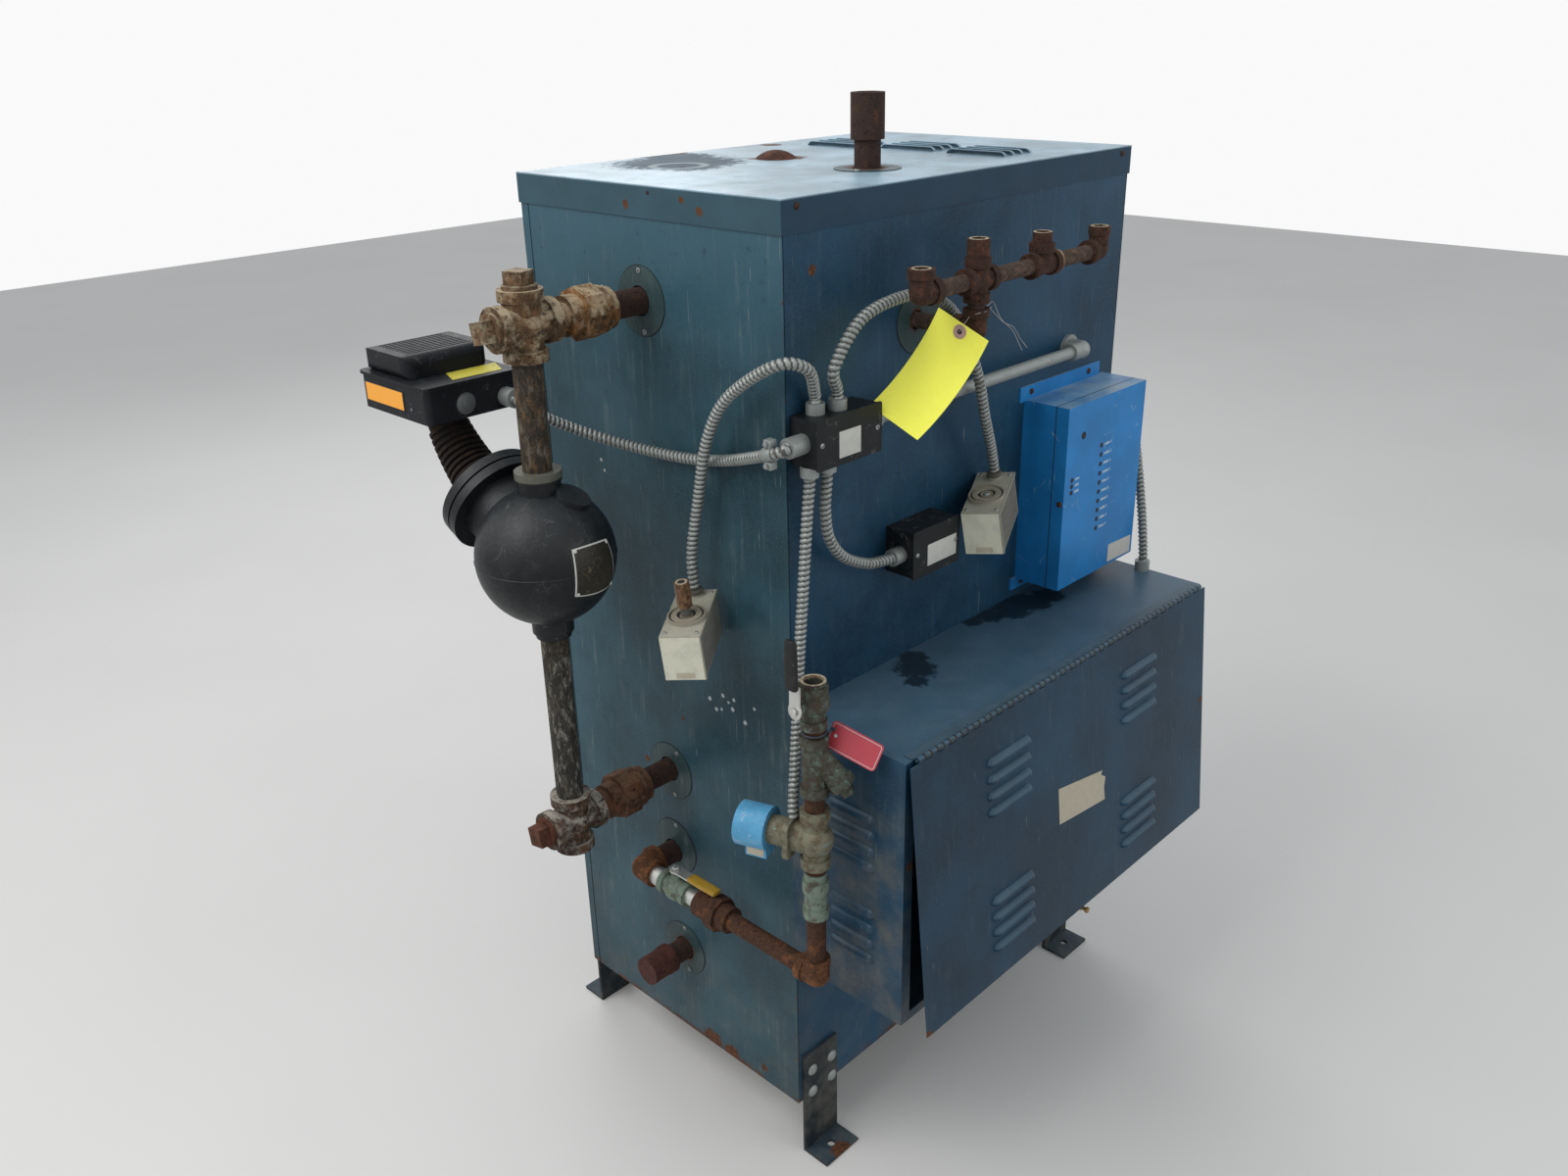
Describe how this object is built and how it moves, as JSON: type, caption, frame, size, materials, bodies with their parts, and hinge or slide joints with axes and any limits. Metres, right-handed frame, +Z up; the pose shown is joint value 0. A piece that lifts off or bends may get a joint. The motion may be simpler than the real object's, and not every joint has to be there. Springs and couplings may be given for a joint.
{
  "type": "electric steam boiler",
  "caption": "Upright steam boiler in a sheet-metal cabinet on feet, with water column, float chamber, feed piping, gauge header and a louvred box with a hinged door.",
  "frame": {"origin": "on the floor at the centre of the rectangle of foot holes", "axes": "+X along the wide face to the right, +Y from the wide face into the cabinet, +Z up"},
  "size_m": [1.0484, 0.807, 1.562],
  "materials": {
    "cabinet": "dark green-blue paint, rusty edges",
    "wide_panel": "dark blue paint, worn",
    "narrow_panel": "dark green-blue paint, worn",
    "lid": "weathered green-blue paint",
    "vessel": "dull",
    "feet": "dark paint, dusty",
    "rusty_steel": "rusty",
    "column_steel": "rusty, stained",
    "bronze": "tarnished",
    "green_bronze": "green patina",
    "black_casting": "black paint",
    "black_plastic": "black",
    "yellow_grip": "yellow dipped grip",
    "black_grip": "black dipped grip",
    "bright_steel": "zinc plated",
    "blue_plastic": "light blue",
    "black_box": "black paint",
    "zinc": "dull zinc",
    "blue_box": "bright blue paint",
    "flex": "zinc plated spiral",
    "beige": "beige enamel",
    "paper": "yellow card",
    "red_tag": "red, white rim",
    "brass": "dull"
  },
  "bodies": {
    "boiler": {"base": "cabinet", "front_panel": "wide_panel", "narrow_panels": "narrow_panel", "back_panel": "narrow_panel", "lid": "lid", "vessel": "vessel", "feet": "feet", "steam_nipple": "rusty_steel", "steam_coupling": "rusty_steel", "escutcheons": "narrow_panel", "lid_plug": "rusty_steel", "wall_nipples": "rusty_steel", "column_pipes": "column_steel", "column_crosses": "bronze", "column_plugs": "bronze", "column_unions": "bronze", "float_chamber": "black_casting", "float_flange": "black_casting", "float_neck": "black_casting", "head_base": "black_plastic", "head_cover": "black_plastic", "feed_pipe": "rusty_steel", "feed_elbows": "rusty_steel", "feed_valve": "green_bronze", "bright_nipples": "bright_steel", "feed_union": "rusty_steel", "check_fitting": "green_bronze", "solenoid_valve": "bronze", "solenoid_coil": "blue_plastic", "strainer": "green_bronze", "inlet_valve": "green_bronze", "drain_cap": "rusty_steel", "header_pipe": "rusty_steel", "header_fittings": "rusty_steel", "junction_box_left": "black_box", "junction_box_right": "black_box", "rigid_conduit": "zinc", "conduit_fittings": "zinc", "control_box": "blue_box", "control_cover": "blue_box", "lower_box": "wide_panel", "door_hinge": "wide_panel", "flex_head": "flex", "flex_left_control": "flex", "flex_right_control": "flex", "flex_solenoid": "flex", "flex_box": "flex", "flex_heater": "flex", "left_control": "beige", "right_control": "beige", "paper_tag": "paper", "valve_tag": "red_tag", "drain_cock": "brass"},
    "door": {"lower_door": "wide_panel"},
    "feed_handle": {"feed_lever": "yellow_grip"},
    "inlet_handle": {"inlet_lever": "black_grip"}
  },
  "joints": [
    {"name": "door_hinge_turn", "type": "hinge", "parent": "boiler", "child": "door", "pos_m": [0, -0.459, 0.8], "axis": [-1, 0, 0], "range_deg": [-5.2, 95]},
    {"name": "feed_lever_turn", "type": "hinge", "parent": "boiler", "child": "feed_handle", "pos_m": [-0.442, -0.066, 0.452], "axis": [0, 0, -1], "range_deg": [0, 90]},
    {"name": "inlet_lever_turn", "type": "hinge", "parent": "boiler", "child": "inlet_handle", "pos_m": [-0.442, -0.353, 0.875], "axis": [-1, 0, 0], "range_deg": [0, 90]}
  ]
}
